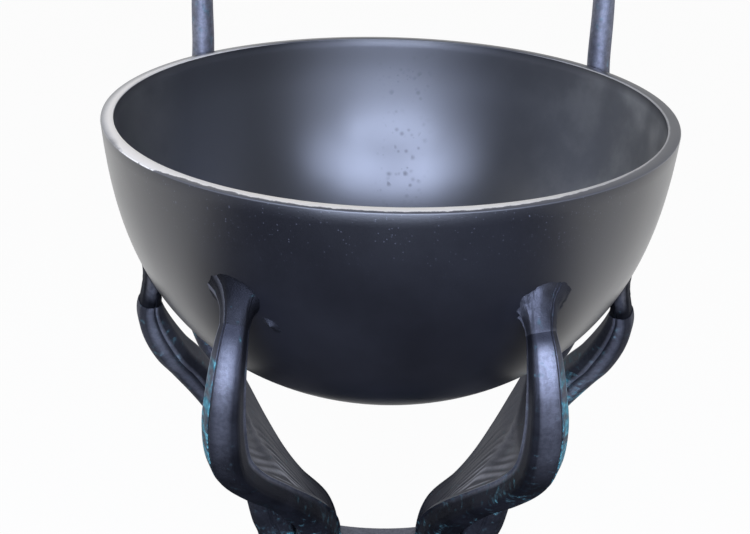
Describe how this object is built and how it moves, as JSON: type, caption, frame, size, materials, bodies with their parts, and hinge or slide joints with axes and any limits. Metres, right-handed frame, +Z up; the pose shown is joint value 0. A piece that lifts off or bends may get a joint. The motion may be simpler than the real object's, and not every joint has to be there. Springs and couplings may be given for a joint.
{
  "type": "fire bowl on antler arms",
  "caption": "Deep black metal bowl with a bare ground rim, welded to two forked antler-shaped arms whose rear tines rise behind it, on a waisted pedestal and a round base.",
  "frame": {"origin": "on the floor under the centre of the bowl", "axes": "+Z up, -Y towards the front of the bowl, +X to the right as seen from the front"},
  "size_m": [0.3067, 0.3117, 0.6813],
  "materials": {
    "bowl_paint": "satin blue-black paint with a bare ground rim",
    "arm_finish": "satin blue-black with blue-green patina along worn edges",
    "weld_finish": "lumpy painted weld metal",
    "stand_finish": "satin blue-black with a little patina",
    "bright_steel": "plain zinc-plated steel",
    "pad_rubber": "matt black rubber"
  },
  "bodies": {
    "root": {"fire_bowl": "bowl_paint", "left_antler": "arm_finish", "right_antler": "arm_finish", "left_side_tine": "arm_finish", "right_side_tine": "arm_finish", "left_rear_tine": "arm_finish", "right_rear_tine": "arm_finish", "front_left_weld": "weld_finish", "front_right_weld": "weld_finish", "side_left_weld": "weld_finish", "side_right_weld": "weld_finish", "rear_left_weld": "weld_finish", "rear_right_weld": "weld_finish", "crown": "stand_finish", "pedestal": "stand_finish", "base": "stand_finish", "arm_screws": "bright_steel", "arm_washers": "bright_steel", "tie_rod": "bright_steel", "tie_washer": "bright_steel", "tie_nut": "bright_steel", "foot_screws": "bright_steel", "foot_pads": "pad_rubber"}
  },
  "joints": []
}
